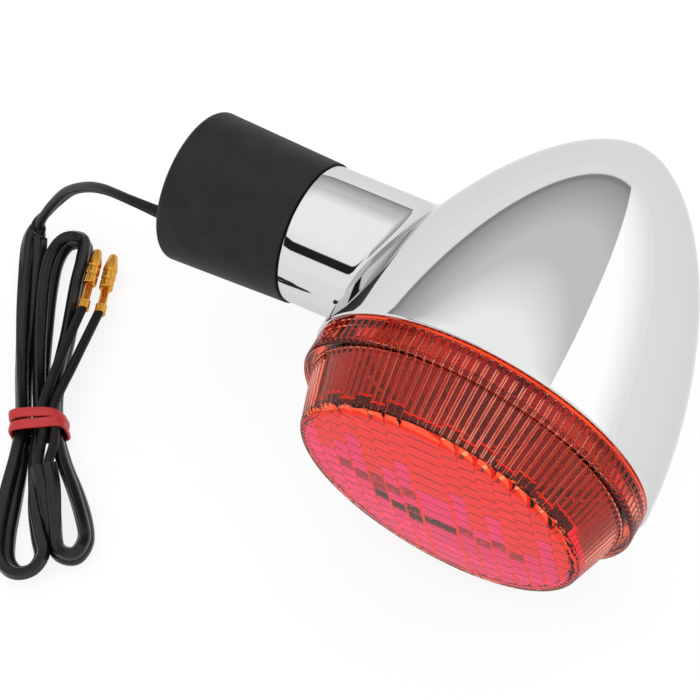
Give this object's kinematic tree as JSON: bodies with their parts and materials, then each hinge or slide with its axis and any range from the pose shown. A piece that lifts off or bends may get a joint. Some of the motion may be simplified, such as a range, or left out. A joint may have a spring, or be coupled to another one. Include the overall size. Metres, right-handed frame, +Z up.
{
  "type": "turn signal indicator",
  "caption": "Chrome bullet turn signal on a short stalk with a rubber mount, a fluted red lens over a bayonet bulb, and a tied lead with bullet connectors.",
  "frame": {"origin": "middle of the rubber mount's end face, at the mouth of its threaded hole", "axes": "+X along the stalk to the lamp, the lens faces -Y, +Z up"},
  "size_m": [0.1701, 0.1337, 0.0769],
  "materials": {
    "chrome": "bright chrome plate on a die casting",
    "zinc_steel": "bright zinc-plated steel",
    "black_rubber": "matt moulded rubber",
    "red_lens": "polished moulded acrylic, fluted inside",
    "reflector_film": "vacuum metallised plastic",
    "nickel": "nickel-plated brass",
    "phenolic": "pressed phenolic board",
    "brass": "stamped brass",
    "wire_pvc": "extruded wire insulation",
    "sleeve_pvc": "extruded flat sleeving, soft gloss",
    "bulb_glass": "blown clear glass",
    "tungsten": "drawn tungsten wire",
    "red_rubber": "soft natural rubber"
  },
  "bodies": {
    "lamp": {"housing": "chrome", "stem_tube": "chrome", "stem_bolt": "zinc_steel", "stem_washer": "zinc_steel", "rubber_boot": "black_rubber", "mount_insert": "zinc_steel", "clamp_plate": "zinc_steel", "wire_grommet": "black_rubber", "lens_gasket": "black_rubber", "reflector": "reflector_film", "reflector_screws": "zinc_steel", "socket_shell": "nickel", "socket_back": "phenolic", "contact_spring": "nickel", "live_terminal": "brass", "ground_lug": "brass", "live_wire": "wire_pvc", "ground_wire": "wire_pvc", "lead_wires": "wire_pvc", "wire_sleeve": "sleeve_pvc", "tail_wires": "wire_pvc", "bullet_connectors": "brass", "rubber_band": "red_rubber"},
    "lens": {"lens": "red_lens"},
    "bulb": {"bulb_cap": "nickel", "bulb_glass": "bulb_glass", "bulb_stem": "bulb_glass", "bulb_filament": "tungsten"},
    "contact": {"contact_plunger": "phenolic"}
  },
  "joints": [
    {"name": "lens_pull", "type": "slide", "parent": "lamp", "child": "lens", "axis": [0, -1, 0], "range_m": [0, 0.06]},
    {"name": "bulb_press", "type": "slide", "parent": "lamp", "child": "bulb", "axis": [0, 1, 0], "range_m": [0, 0.0016], "stiffness_N_per_m": 1500, "springref_m": -0.002},
    {"name": "contact_follow", "type": "slide", "parent": "lamp", "child": "contact", "axis": [0, 1, 0], "range_m": [0, 0.0016], "deforming": ["contact_spring"]}
  ],
  "couplings": [
    {"joint": "contact_follow", "follows": "bulb_press", "ratio": 1}
  ]
}
